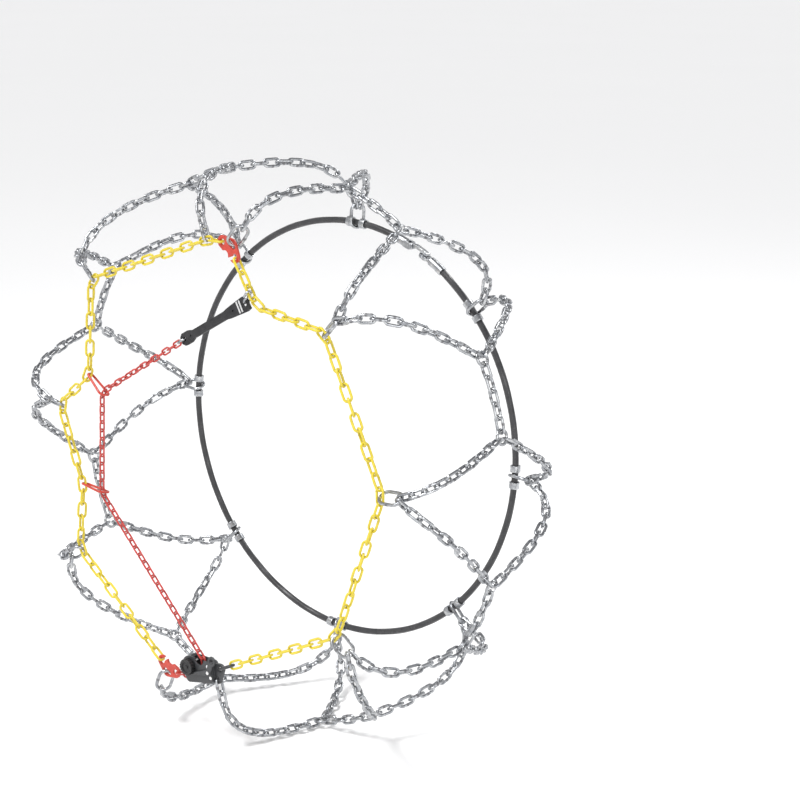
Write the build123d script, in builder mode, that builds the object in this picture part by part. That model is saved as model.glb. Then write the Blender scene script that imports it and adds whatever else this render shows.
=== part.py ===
"""Snow chain of the diamond-net kind, laid out as it sits on a 235/45 R18 car tyre.

Millimetres. The origin is the wheel centre, in the middle of the tyre's width. The wheel's axle
lies along Y, with the outer face of the wheel towards -Y, and Z points up. Angles run clockwise
from the top as the outer face is seen, so they turn from +Z towards +X.
"""
import os
from math import asin, atan2, ceil, cos, degrees, hypot, pi, radians, sin, sqrt

from build123d import *

os.makedirs("parts", exist_ok=True)

# ---------------------------------------------------------------- the tyre that the chain fits
TREAD_RADIUS = 334.0
TYRE_HALF_WIDTH = 118.0
WIDEST_RADIUS = 285.0
CHAIN_RISE = 6.3                                   # chain centre line above the rubber
CROWN = TREAD_RADIUS + CHAIN_RISE
FLANK = TYRE_HALF_WIDTH + CHAIN_RISE
TREAD_FLATNESS = 3.4
SHOULDER_ROUNDNESS = 2.3

# ---------------------------------------------------------------- wire and link sizes
CROSS = dict(wire=3.5, length=16.2, width=5.3)     # zinc plated links of the net
SIDE = dict(wire=3.0, length=17.5, width=6.0)      # yellow side chain
TENSION = dict(wire=2.2, length=11.4, width=4.1)   # red tension chain
JOINING = dict(wire=4.0, length=25.0, width=13.0)  # large links from side chain to net
RING = dict(wire=3.8, radius=6.5)                  # round rings on the tread
SLACK = 0.4                                        # least play between two links
HANGER_PLAY = 0.45                                 # in wires, at a link that is pulled aside

# ---------------------------------------------------------------- layout of the net
SECTORS = 8
FIRST_SECTOR = 4.0
SECTOR = 360 / SECTORS
DIAMOND_HALF = 15.0                                # half of a diamond's length on the tread
TREAD_SPOTS = [FIRST_SECTOR + SECTOR * k + side * DIAMOND_HALF
               for k in range(SECTORS) for side in (-1, 1)]
CABLE_RADIUS = 262.0
JOINING_TILT_OUTER = 52.0                          # of a joining link's end wire from the rim line
JOINING_TILT_INNER = 68.0
LEG_PLAY = 0.6                                     # of a leg on the wire that it hangs on
LEG_SPREAD = 3.3                                   # of two legs' first links from the joining link

# ---------------------------------------------------------------- where things hang at the face
GUIDE_CORNERS = {"lower": (251.0, 190.0), "upper": (290.0, 184.0)}
STRAP_START = Vector(-34.9, -FLANK, 145.3)
STRAP_END = Vector(71.6, -FLANK, 202.9)
LOCK = Plane(origin=(-8.5, -FLANK, -251), x_dir=(cos(radians(11)), 0, sin(radians(11))),
             z_dir=(0, -1, 0))
CLOSURE = Plane(origin=(43.9, -FLANK, 260.9), x_dir=(0.757, 0, -0.653), z_dir=(0, -1, 0))
LEFT_HOOK = Plane(origin=(-71.5, -FLANK, -262.5), x_dir=(-0.92, 0, 0.40), z_dir=(0, -1, 0))

# What pulls the side chain aside, in order from the closing hook: clock angle, radius, links
# since the one before, and roll of the link that it pulls on.
RIGHT_HANGERS = {"strap": (23.9, 219.5, 3, 90), 1: (47.4, 256.0, 5, 90), 2: (89.8, 263.5, 10, 90),
                 3: (132.2, 254.5, 10, 90)}
LEFT_HANGERS = {"left leg": (1.1, 266.0, 1, 90), 7: (316.1, 271.0, 11, 90),
                "upper": (290.6, 217.0, 6, 65), 6: (275.8, 250.0, 3, 90),
                "lower": (251.5, 225.0, 5, 60), 5: (232.0, 262.0, 4, 90)}
LAST_LINKS = {"right": 10, "left": 10}               # from the last hanger to the lock or hook


# ================================================================ geometry helpers
def spot(angle, radius, across):
    """The point at a clock angle, a radius and a place across the wheel."""
    return Vector(radius * sin(radians(angle)), across, radius * cos(radians(angle)))


def clock_axes(angle):
    """Unit vectors pointing outwards and clockwise at a clock angle."""
    a = radians(angle)
    return Vector(sin(a), 0, cos(a)), Vector(cos(a), 0, -sin(a))


def outward(point):
    """The direction away from the rubber at a point on the chain's bed."""
    radius = hypot(point.X, point.Z)
    rise = max(radius - WIDEST_RADIUS, 0) / (CROWN - WIDEST_RADIUS)
    reach = min(abs(point.Y) / FLANK, 1)
    up = SHOULDER_ROUNDNESS * rise ** (SHOULDER_ROUNDNESS - 1) / (CROWN - WIDEST_RADIUS)
    out = TREAD_FLATNESS * reach ** (TREAD_FLATNESS - 1) / FLANK
    sideways = out if point.Y > 0 else -out
    return Vector(up * point.X / radius, sideways, up * point.Z / radius).normalized()


def bed(side, start_radius, steps=240):
    """Radius and place across of the chain's bed, from the sidewall up to the crown."""
    height = CROWN - WIDEST_RADIUS
    points = []
    if start_radius < WIDEST_RADIUS:
        points.append((start_radius, side * FLANK))
    for i in range(steps + 1):
        angle = pi / 2 * (1 - i / steps)
        across = FLANK * sin(angle) ** (2 / TREAD_FLATNESS)
        radius = WIDEST_RADIUS + height * cos(angle) ** (2 / SHOULDER_ROUNDNESS)
        if radius >= start_radius:
            points.append((radius, side * across))
    return points


def walk(points, count):
    """Points that divide a line of many points into equal stretches."""
    lengths = [0.0]
    for a, b in zip(points, points[1:]):
        lengths.append(lengths[-1] + (b - a).length)
    stops, i = [], 0
    for n in range(count + 1):
        goal = lengths[-1] * n / count
        while i < len(lengths) - 2 and lengths[i + 1] < goal:
            i += 1
        part = (goal - lengths[i]) / (lengths[i + 1] - lengths[i])
        stops.append(points[i] + (points[i + 1] - points[i]) * part)
    return stops


def line_length(points):
    return sum((b - a).length for a, b in zip(points, points[1:]))


def settle(before, angle, radius, distance):
    """The point at a radius, near a clock angle, that lies at a distance from another point."""
    for _ in range(8):
        here = spot(angle, radius, before.Y)
        away = here - before
        angle += degrees((distance - away.length) / radius
                         / away.normalized().dot(clock_axes(angle)[1]))
    return spot(angle, radius, before.Y)


def link_count(length, size):
    """How many links of a size reach over a length, with a little play in each."""
    return ceil(length / (size["length"] - SLACK - 0.06 * size["wire"]))


def roll_of(width, along, point):
    """The roll angle of a link whose width points along a given vector."""
    up = outward(point)
    up = (up - along * up.dot(along)).normalized()
    return degrees(atan2(width.dot(along.cross(up)), width.dot(up)))


def link_planes(pivots, first_roll, last_roll):
    """A plane for each link between pivots: each one turns a quarter, and the rest is twist."""
    links = len(pivots) - 1
    quarter = first_roll + 90 * (links - 1)
    twist = (last_roll - quarter + 90) % 180 - 90
    planes = []
    for i, (a, b) in enumerate(zip(pivots, pivots[1:])):
        along = (b - a).normalized()
        middle = (a + b) * 0.5
        up = outward(middle)
        up = (up - along * up.dot(along)).normalized()
        share = i / (links - 1) if links > 1 else 0
        roll = radians(first_roll + 90 * i + twist * share)
        width = up * cos(roll) + along.cross(up) * sin(roll)
        planes.append(Plane(origin=middle, x_dir=along, z_dir=along.cross(width)))
    return planes


# ================================================================ links
def closed_link(wire, length, width):
    """One link with straight sides, its length along X and its width along Y."""
    bend = (width + wire) / 2
    straight = (length - width) / 2
    with BuildPart() as link:
        with BuildLine() as centre_line:
            Line((-straight, -bend), (straight, -bend))
            CenterArc((straight, 0), bend, -90, 180)
            Line((straight, bend), (-straight, bend))
            CenterArc((-straight, 0), bend, 90, 180)
        with BuildSketch(Plane(origin=(0, -bend, 0), x_dir=(0, 1, 0), z_dir=(1, 0, 0))):
            Circle(wire / 2)
        sweep(path=centre_line.wires()[0])
    return link.part


CROSS_LINK = closed_link(**CROSS)
SIDE_LINK = closed_link(**SIDE)
TENSION_LINK = closed_link(**TENSION)
JOINING_LINK = closed_link(**JOINING)


def write(piece, name):
    piece.part.label = name
    export_step(piece.part, f"parts/{name}.step")


def write_links(name, *groups):
    """One node of many links: each group is a link's solid and the planes it stands on."""
    with BuildPart() as chain:
        for solid, planes in groups:
            with Locations(*[plane.location for plane in planes]):
                add(solid)
    write(chain, name)


# ================================================================ hooks and hangers
HOOK_EYE = Vector(12.0, -1.5, 0)                   # of a double hook, on either side
OTHER_HOOK_EYE = Vector(-HOOK_EYE.X, HOOK_EYE.Y, 0)
HOOK_EYE_RADIUS = 3.2
EYE_PLAY = 0.3                                     # of a link's end on the rim of an eye
BEND_LOSS = 1.8                                    # of a run's length, at its bent ends
HOOK_SLOT = Vector(0, 5.8, 0)


def eye_pivot(plane, eye, towards, radius):
    """Where a link's end bears on the wall of an eye when it is pulled towards a point."""
    centre = plane.from_local_coords(eye)
    return centre + (towards - centre).normalized() * (radius - EYE_PLAY)


def settled_hangers(eye, layout):
    """Hanger points that lie whole numbers of links apart, starting at a hook's eye."""
    pitch, hanging = SIDE["length"] - SLACK, SIDE["length"] - HANGER_PLAY * SIDE["wire"]
    before, extra, points = eye, HOOK_EYE_RADIUS + hanging / 2, {}
    for name, (angle, radius, links, roll) in layout.items():
        before = settle(before, angle, radius, links * pitch + extra - BEND_LOSS)
        points[name] = before
        extra = hanging
    return points


right_points = settled_hangers(CLOSURE.from_local_coords(HOOK_EYE), RIGHT_HANGERS)
left_points = settled_hangers(CLOSURE.from_local_coords(OTHER_HOOK_EYE), LEFT_HANGERS)
junctions = {name: point for name, point in (right_points | left_points).items()
             if isinstance(name, int)}


# ================================================================ joining links and legs
def joining_plane(near_tip, direction, tilt_vector):
    """A joining link whose near end wire is centred at near_tip."""
    centre = near_tip + direction * ((JOINING["length"] + JOINING["wire"]) / 2)
    return Plane(origin=centre, x_dir=direction, z_dir=direction.cross(tilt_vector))


def far_wire(near_tip, direction, tilt_vector, offset):
    """A point on the centre line of the far end of a joining link, aside from its tip."""
    bend = (JOINING["width"] + JOINING["wire"]) / 2
    arc_centre = near_tip + direction * (JOINING["length"] + JOINING["wire"] - bend)
    return arc_centre + direction * sqrt(bend ** 2 - offset ** 2) + tilt_vector * offset


def leg_pivots(start, side, tread_angle):
    """Pivots of a leg from its start on the sidewall to the ring on the tread."""
    start_radius = hypot(start.X, start.Z)
    start_angle = degrees(atan2(start.X, start.Z)) % 360
    swing = (tread_angle - start_angle + 180) % 360 - 180
    profile = bed(side, start_radius)
    travelled = [0.0]
    for (r0, y0), (r1, y1) in zip(profile, profile[1:]):
        travelled.append(travelled[-1] + hypot(r1 - r0, y1 - y0))
    lift = start.Y - profile[0][1]
    points = []
    for (radius, across), length in zip(profile, travelled):
        share = length / travelled[-1]
        points.append(spot(start_angle + swing * share, radius, across + lift * (1 - share) ** 3))
    ring_centre = spot(tread_angle, CROWN, 0)
    points = [p for p in points if (p - ring_centre).length > RING["radius"] + 1]
    points.append(ring_centre + (points[-1] - ring_centre).normalized() * RING["radius"])
    return walk(points, link_count(line_length(points), CROSS))


def leg_planes(anchor, reach, side, tread_angle, hang_vector):
    """Link planes of a leg that hangs on a wire or an eye which runs along hang_vector.

    The first link bears at a reach beyond the anchor: negative on a wire, positive in an eye.
    """
    rough = leg_pivots(anchor, side, tread_angle)
    start = anchor + (rough[1] - rough[0]).normalized() * reach
    pivots = leg_pivots(start, side, tread_angle)
    along = (pivots[1] - pivots[0]).normalized()
    width = hang_vector.cross(along).normalized()
    first_roll = roll_of(width, along, (pivots[0] + pivots[1]) * 0.5)
    return link_planes(pivots, first_roll, 0)


def tread_angle(sector, side):
    return FIRST_SECTOR + SECTOR * sector + side * DIAMOND_HALF


def leg_pair(near, direction, end_wire, side, sector):
    """Both legs of a sector, hung side by side in one joining link."""
    planes = []
    for way in (-1, 1):
        anchor = far_wire(near, direction, end_wire, way * LEG_SPREAD)
        planes += leg_planes(anchor, WIRE_REACH, side, tread_angle(sector, way), end_wire)
    return planes


ACROSS = Vector(0, 1, 0)
WIRE_REACH = -JOINING["wire"] / 2 - LEG_PLAY
joining_outer, joining_inner = [], []

# the six outer junctions on the side chain
for sector, point in junctions.items():
    away = Vector(point.X, 0, point.Z).normalized()
    clockwise = Vector(away.Z, 0, -away.X)
    tilt = radians(JOINING_TILT_OUTER)
    end_wire = clockwise * cos(tilt) - ACROSS * sin(tilt)
    near = point + away * ((SIDE["width"] - JOINING["wire"]) / 2 - 0.2)
    joining_outer.append(joining_plane(near, away, end_wire))
    write_links(f"outer_legs_{sector + 1}",
                (CROSS_LINK, leg_pair(near, away, end_wire, -1, sector)))

# the top sector: one leg on the side chain, the other on the closing hook
SLOT_TILT = radians(52)
near = CLOSURE.from_local_coords(HOOK_SLOT)
lean = CLOSURE.y_dir
end_wire = lean.cross(ACROSS) * cos(SLOT_TILT) - ACROSS * sin(SLOT_TILT)
joining_outer.append(joining_plane(near, lean, end_wire))
yellow_side = left_points["left leg"] + Vector(0, 0, (SIDE["width"] + SIDE["wire"]) / 2)
write_links("outer_legs_1",
            (CROSS_LINK, leg_planes(yellow_side, -SIDE["wire"] / 2 - LEG_PLAY, -1,
                                    tread_angle(0, -1), Vector(1, 0, 0))
             + leg_planes(far_wire(near, lean, end_wire, 0), WIRE_REACH, -1,
                          tread_angle(0, 1), end_wire)))

# the bottom sector: one leg on the lock, the other on the left hook
LOCK_LEG_EYE = Vector(18.5, -10.5, 0)
LOCK_EYE_RADIUS = 2.8
near = LEFT_HOOK.from_local_coords(HOOK_SLOT)
end_wire = LEFT_HOOK.x_dir * cos(SLOT_TILT) - ACROSS * sin(SLOT_TILT)
joining_outer.append(joining_plane(near, LEFT_HOOK.y_dir, end_wire))
write_links("outer_legs_5",
            (CROSS_LINK, leg_planes(LOCK.from_local_coords(LOCK_LEG_EYE), LOCK_EYE_RADIUS - EYE_PLAY, -1,
                                    tread_angle(4, -1), LOCK.x_dir)
             + leg_planes(far_wire(near, LEFT_HOOK.y_dir, end_wire, 0), WIRE_REACH, -1,
                          tread_angle(4, 1), end_wire)))

# the eight inner junctions on the cable
CABLE_WIRE = 8.0
for sector in range(SECTORS):
    angle = FIRST_SECTOR + SECTOR * sector
    away, clockwise = clock_axes(angle)
    tilt = radians(JOINING_TILT_INNER)
    end_wire = clockwise * cos(tilt) + ACROSS * sin(tilt)
    near = spot(angle, CABLE_RADIUS - (CABLE_WIRE + JOINING["wire"]) / 2 - 0.2, FLANK)
    joining_inner.append(joining_plane(near, away, end_wire))
    write_links(f"inner_legs_{sector + 1}",
                (CROSS_LINK, leg_pair(near, away, end_wire, 1, sector)))

write_links("outer_joining_links", (JOINING_LINK, joining_outer))
write_links("inner_joining_links", (JOINING_LINK, joining_inner))

# ================================================================ tread: rings and connectors
with BuildPart() as round_ring:
    with BuildSketch(Plane.XZ):
        with Locations((RING["radius"] + RING["wire"] / 2, 0)):
            Circle(RING["wire"] / 2)
    revolve(axis=Axis.Z)

ring_planes = [Plane(origin=spot(angle, CROWN, 0), z_dir=clock_axes(angle)[0])
               for angle in TREAD_SPOTS]
write_links("tread_rings", (round_ring.part, ring_planes))

for sector in range(SECTORS):
    start_angle = tread_angle(sector, 1)
    stop_angle = tread_angle(sector + 1, -1)
    ring_share = degrees(RING["radius"] / CROWN)
    steps = 40
    arc = [spot(start_angle + ring_share + (stop_angle - start_angle - 2 * ring_share) * i / steps,
                CROWN, 0) for i in range(steps + 1)]
    pivots = walk(arc, link_count(line_length(arc), CROSS))
    write_links(f"tread_connector_{sector + 1}", (CROSS_LINK, link_planes(pivots, 0, 0)))


# ================================================================ side and tension chains
def strung_chain(start, stop, hangers, size, rolls, counts):
    """Planes of a chain pulled aside at hangers: a link sits on each, and runs lie between.

    rolls are those of the first link, of each hanger's link and of the last link. counts are the
    links of each run. Returns one list of planes for each run, with the hanger's link at its end.
    """
    half = (size["length"] - HANGER_PLAY * size["wire"]) / 2
    centres = [start] + hangers + [stop]
    ends = []
    for before, centre, after in zip(centres, centres[1:], centres[2:]):
        along = ((centre - before).normalized() + (after - centre).normalized()).normalized()
        ends.append([centre - along * half, centre + along * half])
    entries = [pair[0] for pair in ends] + [stop]
    exits = [start] + [pair[1] for pair in ends]
    runs = []
    for i, (leave, arrive, count) in enumerate(zip(exits, entries, counts)):
        first = rolls[0] if i == 0 else rolls[i] + 90
        last = rolls[-1] if i == len(ends) else rolls[i + 1] + 90
        planes = link_planes(walk([leave, arrive], count), first, last)
        if i < len(ends):
            planes += link_planes(ends[i], rolls[i + 1], rolls[i + 1])
        runs.append(planes)
    return runs


def side_half(plane, eye, points, layout, last_links, stop, stop_roll):
    """The side chain from the closing hook's eye to where one of its halves ends."""
    hangers = list(points.values())
    counts = [links for angle, radius, links, roll in layout.values()] + [last_links]
    rolls = [0] + [roll for angle, radius, links, roll in layout.values()] + [stop_roll]
    start = eye_pivot(plane, eye, hangers[0], HOOK_EYE_RADIUS)
    return strung_chain(start, stop, hangers, SIDE, rolls, counts)


LOCK_LINK = dict(wire=3.6, length=17.0, width=6.0)
LOCK_LINK_EYE = Vector(25.5, 2.0, 0)
lock_eye = LOCK.from_local_coords(LOCK_LINK_EYE)
lock_link_way = (right_points[3] - lock_eye).normalized()
lock_link_near = lock_eye + lock_link_way * (LOCK_EYE_RADIUS - EYE_PLAY)
lock_link_far = lock_link_near + lock_link_way * LOCK_LINK["length"]
right_runs = side_half(CLOSURE, HOOK_EYE, right_points, RIGHT_HANGERS, LAST_LINKS["right"],
                       lock_link_far, 90)
left_stop = eye_pivot(LEFT_HOOK, HOOK_EYE, left_points[5], HOOK_EYE_RADIUS)
left_runs = side_half(CLOSURE, OTHER_HOOK_EYE, left_points, LEFT_HANGERS, LAST_LINKS["left"],
                      left_stop, 0)
side_sections = [right_runs[0] + right_runs[1], right_runs[2], right_runs[3], right_runs[4],
                 left_runs[0] + left_runs[1], left_runs[2] + left_runs[3],
                 left_runs[4] + left_runs[5], left_runs[6]]
for number, planes in enumerate(side_sections, 1):
    write_links(f"side_chain_{number}", (SIDE_LINK, planes))

# tension chain: left hook, two bends inside the lock, both guides, strap ring
LOCK_CORNERS = (Vector(-12.4, -8.3, 0), Vector(-2.1, 9.0, 0))
strap_way = (STRAP_END - STRAP_START).normalized()
STRAP_RING = dict(wire=2.6, length=9.0, width=7.0)
STRAP_RING_HOLE = 6.0                              # from the strap's end
STRAP_RING_HOLE_RADIUS = 2.2
strap_ring_far = STRAP_START + strap_way * (STRAP_RING_HOLE - STRAP_RING_HOLE_RADIUS + EYE_PLAY)
strap_ring_near = strap_ring_far - strap_way * STRAP_RING["length"]
lock_corners = [LOCK.from_local_coords(corner) for corner in LOCK_CORNERS]
guide_corners = [spot(angle, radius, -FLANK) for angle, radius in GUIDE_CORNERS.values()]
tension_start = eye_pivot(LEFT_HOOK, OTHER_HOOK_EYE, lock_corners[0], HOOK_EYE_RADIUS)
pitch = TENSION["length"] - SLACK
free_stops = [lock_corners[1], *guide_corners, strap_ring_near]
free_counts = [ceil(((b - a).length - ends * pitch / 2) / (pitch + 0.2))
               for a, b, ends in zip(free_stops, free_stops[1:], (2, 2, 1))]
tension_runs = strung_chain(tension_start, strap_ring_near, lock_corners + guide_corners, TENSION,
                            [0, 90, 90, 0, 0, 90], [3, 1] + free_counts)
write_links("tension_chain_lock", (TENSION_LINK, tension_runs[0] + tension_runs[1]))
for number, planes in enumerate(tension_runs[2:], 1):
    write_links(f"tension_chain_{number}", (TENSION_LINK, planes))

# ================================================================ plates and hooks
def hull_sketch(circles, holes=()):
    """Draws a shape that wraps round circles (x, y, radius), less some round holes."""
    with BuildLine() as rounds:
        for x, y, radius in circles:
            CenterArc((x, y), radius, 0, 360)
    make_hull(rounds.edges())
    for x, y, radius in holes:
        with Locations((x, y)):
            Circle(radius, mode=Mode.SUBTRACT)


HOOK_THICKNESS = 3.2
HOOK_LOBE_RADIUS = 7.5
HOOK_BACK = (0, 5.5, 7.2)                          # x, y and radius
HOOK_SLOT_MIDDLE = HOOK_SLOT + Vector(0, 0.3, 0)
HOOK_SLOT_SIZE = (12.6, 5.4)
HOOK_NOTCH = (0, -11, 5.5)                         # x, y and radius, between the two lobes
HOOK_MOUTH = (9, -7)                               # middle of the slit into the right eye
HOOK_MOUTH_SIZE = (3.6, 9)
HOOK_MOUTH_LEAN = -30
HOOK_ROUND = 1.2                                   # of the eyes' rims
SAME_SIZE = 0.01                                   # when a rim is picked by its radius

for name, plane in (("closure_hook", CLOSURE), ("left_hook", LEFT_HOOK)):
    eyes = [(eye.X, eye.Y, HOOK_EYE_RADIUS) for eye in (HOOK_EYE, OTHER_HOOK_EYE)]
    with BuildPart() as hook:
        with BuildSketch(plane.offset(-HOOK_THICKNESS / 2)):
            hull_sketch([(x, y, HOOK_LOBE_RADIUS) for x, y, radius in eyes] + [HOOK_BACK], eyes)
            with Locations((HOOK_SLOT_MIDDLE.X, HOOK_SLOT_MIDDLE.Y)):
                SlotOverall(*HOOK_SLOT_SIZE, mode=Mode.SUBTRACT)
            with Locations(HOOK_NOTCH[:2]):
                Circle(HOOK_NOTCH[2], mode=Mode.SUBTRACT)
        extrude(amount=HOOK_THICKNESS)
        rims = hook.edges().filter_by(GeomType.CIRCLE)
        fillet(rims.filter_by(lambda edge: abs(edge.radius - HOOK_EYE_RADIUS) < SAME_SIZE),
               HOOK_ROUND)
        with BuildSketch(plane.offset(-HOOK_THICKNESS)):
            with Locations(Location(HOOK_MOUTH, HOOK_MOUTH_LEAN)):
                Rectangle(*HOOK_MOUTH_SIZE)
        extrude(amount=2 * HOOK_THICKNESS, mode=Mode.SUBTRACT)
    write(hook, name)

# ================================================================ guide rings
GUIDE_WIRE = 3.0
GUIDE_TIP_RADIUS = 4.5                             # of the centre line
GUIDE_CORNER = 4.2                                 # radius of the base's round corners
GUIDE_SPREAD = 3.8                                 # of their middles, from the ring's axis
GUIDE_ROLL = 76.0                                  # of the ring's width from the rim line
GUIDE_PLAY = 0.3
host_links = {"lower": left_runs[4][-1], "upper": left_runs[2][-1]}
corner_links = {"lower": tension_runs[2][-1], "upper": tension_runs[3][-1]}
for name, host in host_links.items():
    corner = corner_links[name]
    away = Vector(host.origin.X, 0, host.origin.Z).normalized()
    clockwise = Vector(away.Z, 0, -away.X)
    hole_way = host.y_dir if host.y_dir.dot(away) > 0 else host.y_dir * -1
    bearing = host.origin - hole_way * ((SIDE["width"] + SIDE["wire"]) / 2)
    base = corner.origin - away * ((TENSION["wire"] + GUIDE_WIRE) / 2 + GUIDE_PLAY)
    up = (bearing - base).normalized()
    reach = (bearing - base).length + (SIDE["wire"] + GUIDE_WIRE) / 2 + GUIDE_PLAY
    roll = radians(GUIDE_ROLL)
    width = clockwise * cos(roll) - ACROSS * sin(roll)
    width = (width - up * width.dot(up)).normalized()
    tip_middle = reach - GUIDE_TIP_RADIUS
    rise = tip_middle - GUIDE_CORNER
    turn = atan2(GUIDE_SPREAD, rise) - asin((GUIDE_CORNER - GUIDE_TIP_RADIUS)
                                            / hypot(GUIDE_SPREAD, rise))
    side = Vector(cos(turn), sin(turn))            # from a round's middle to where a side starts
    low = Vector(GUIDE_SPREAD, GUIDE_CORNER) + side * GUIDE_CORNER
    high = Vector(0, tip_middle) + side * GUIDE_TIP_RADIUS
    with BuildPart() as ring:
        with BuildLine(Plane(origin=base, x_dir=width, z_dir=width.cross(up))) as centre_line:
            Line((-GUIDE_SPREAD, 0), (GUIDE_SPREAD, 0))
            CenterArc((GUIDE_SPREAD, GUIDE_CORNER), GUIDE_CORNER, -90, 90 + degrees(turn))
            Line((low.X, low.Y), (high.X, high.Y))
            CenterArc((0, tip_middle), GUIDE_TIP_RADIUS, degrees(turn), 180 - 2 * degrees(turn))
            Line((-high.X, high.Y), (-low.X, low.Y))
            CenterArc((-GUIDE_SPREAD, GUIDE_CORNER), GUIDE_CORNER, 180 - degrees(turn),
                      90 + degrees(turn))
        path = centre_line.wires()[0]
        with BuildSketch(Plane(origin=path @ 0, z_dir=path % 0)):
            Circle(GUIDE_WIRE / 2)
        sweep(path=path)
    write(ring, f"guide_ring_{name}")

# ================================================================ the lock
LOCK_INSIDE = 4.7                                  # half of the room between its two plates
LOCK_PLATE = 2.0
ROLLER = Vector(-20, 6, 0)
AXLE_RADIUS = 2.4
AXLE_HOLE = AXLE_RADIUS + 0.2
RIVETS = ((10.6, 6.0), (13.0, -7.8))
RIVET_RADIUS = 1.4
RIVET_HEAD = (2.2, 0.7)                            # radius and height
PAWL_PIVOT = Vector(12.5, -0.8, 0)
LOCK_SPACER = (8.5, -13.0, 15.5, 9.5)              # its sides: left, bottom, right, top
LOCK_OUTLINE = [(ROLLER.X, ROLLER.Y, 12.5), (-24, -9, 5), (10.5, -9.5, 5), (11, 7, 4.5)]
TANG_HALF = 2.0                                    # half of the eye plate's thickness
TANG_EYE_WALL = 6.0                                # radius of the plate round each eye
TANG_SHOULDER = (19, 5, 4)
TANG_ROOT = (2, 14)                                # where it enters the spacer
TANG_ROOT_LEVEL = -2
TANG_OVERLAP = 0.2
TANG_ROUND = 1.1
TALL = 30.0                                        # more than the lock's height
lock_holes = [(x, y, RIVET_RADIUS) for x, y in (*RIVETS, (PAWL_PIVOT.X, PAWL_PIVOT.Y))]
plate_holes = lock_holes + [(ROLLER.X, ROLLER.Y, AXLE_HOLE)]

with BuildPart() as lock_body:
    with BuildSketch(LOCK.offset(-LOCK_INSIDE - LOCK_PLATE)):
        hull_sketch(LOCK_OUTLINE, plate_holes)
    extrude(amount=LOCK_PLATE)
    left, bottom, right, top = LOCK_SPACER
    with BuildSketch(LOCK.offset(-LOCK_INSIDE)):
        with Locations(((left + right) / 2, (bottom + top) / 2)):
            Rectangle(right - left, top - bottom)
        for x, y, radius in lock_holes:
            with Locations((x, y)):
                Circle(radius, mode=Mode.SUBTRACT)
    extrude(amount=2 * LOCK_INSIDE)
    with BuildSketch(LOCK.offset(-TANG_HALF)):
        hull_sketch([(eye.X, eye.Y, TANG_EYE_WALL) for eye in (LOCK_LEG_EYE, LOCK_LINK_EYE)]
                    + [TANG_SHOULDER])
        with Locations((right - TANG_OVERLAP, TANG_ROOT_LEVEL)):
            Rectangle(*TANG_ROOT)
        for eye in (LOCK_LEG_EYE, LOCK_LINK_EYE):
            with Locations((eye.X, eye.Y)):
                Circle(LOCK_EYE_RADIUS, mode=Mode.SUBTRACT)
        with Locations(((left + right - 1) / 2, (bottom + top) / 2)):
            Rectangle(right - left, TALL, mode=Mode.SUBTRACT)
    extrude(amount=2 * TANG_HALF)
    eye_rims = lock_body.edges().filter_by(GeomType.CIRCLE)
    fillet(eye_rims.filter_by(lambda edge: abs(edge.radius - LOCK_EYE_RADIUS) < SAME_SIZE),
           TANG_ROUND)
write(lock_body, "lock_body")

CHAIN_EXIT = (-2.5, 15, 7.5)                       # x, y and radius of the cover's cut-out
with BuildPart() as lock_cover:
    with BuildSketch(LOCK.offset(LOCK_INSIDE)):
        hull_sketch(LOCK_OUTLINE, plate_holes)
        with Locations(CHAIN_EXIT[:2]):
            Circle(CHAIN_EXIT[2], mode=Mode.SUBTRACT)
    extrude(amount=LOCK_PLATE)
write(lock_cover, "lock_cover")

outer_face = LOCK_INSIDE + LOCK_PLATE
PAWL_RISE = outer_face + RIVET_HEAD[1] + 0.3
PAWL_THICKNESS = 2.2
PAWL_PLAY = 0.2                                    # under its pivot's head
with BuildPart() as rivets:
    for (x, y), head_rise in zip((*RIVETS, (PAWL_PIVOT.X, PAWL_PIVOT.Y)),
                                 (outer_face, outer_face,
                                  PAWL_RISE + PAWL_THICKNESS + PAWL_PLAY)):
        for level, radius, height in ((-outer_face - RIVET_HEAD[1], RIVET_HEAD[0], RIVET_HEAD[1]),
                                      (-outer_face, RIVET_RADIUS, outer_face + head_rise),
                                      (head_rise, RIVET_HEAD[0], RIVET_HEAD[1])):
            with BuildSketch(LOCK.offset(level)):
                with Locations((x, y)):
                    Circle(radius)
            extrude(amount=height)
write(rivets, "lock_rivets")

TOOTH_COUNT = 9
DRUM_RADIUS = 8.8
TOOTH_TIP = 10.6
TOOTH_WIDTH = 2.6
DRUM_HALF_WIDTH = 4.3
AXLE_HEAD = (4.0, 1.1)                             # radius and thickness, behind the lock
AXLE_LENGTH = 2 * outer_face + 5.0
ROLLER_PLAY = 0.5                                  # off the lock's outer faces
AXLE_HEAD_OVERLAP = 0.2
KNOB_FOOT = outer_face + ROLLER_PLAY
KNOB_HEIGHT = 6.5
KNOB_RADIUS = 9.6
KNOB_RIBS = 18
KNOB_RIB_RADIUS = 0.7
KNOB_BORE_DEPTH = 4.2
KNOB_RECESS = (6.5, 2.5, 1.2)                      # outer and inner radius, and depth
roller_plane = Plane(origin=LOCK.from_local_coords(ROLLER), x_dir=LOCK.x_dir, z_dir=LOCK.z_dir)
with BuildPart() as roller:
    with BuildSketch(roller_plane.offset(-DRUM_HALF_WIDTH)):
        Circle(DRUM_RADIUS)
        with PolarLocations(DRUM_RADIUS, TOOTH_COUNT):
            Rectangle(2 * (TOOTH_TIP - DRUM_RADIUS), TOOTH_WIDTH)
    extrude(amount=2 * DRUM_HALF_WIDTH)
    head_radius, head_thickness = AXLE_HEAD
    axle_back = -outer_face - ROLLER_PLAY
    for level, radius, height in ((axle_back + AXLE_HEAD_OVERLAP - head_thickness, head_radius,
                                   head_thickness),
                                  (axle_back, AXLE_RADIUS, AXLE_LENGTH)):
        with BuildSketch(roller_plane.offset(level)):
            Circle(radius)
        extrude(amount=height)
write(roller, "lock_roller")

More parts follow.
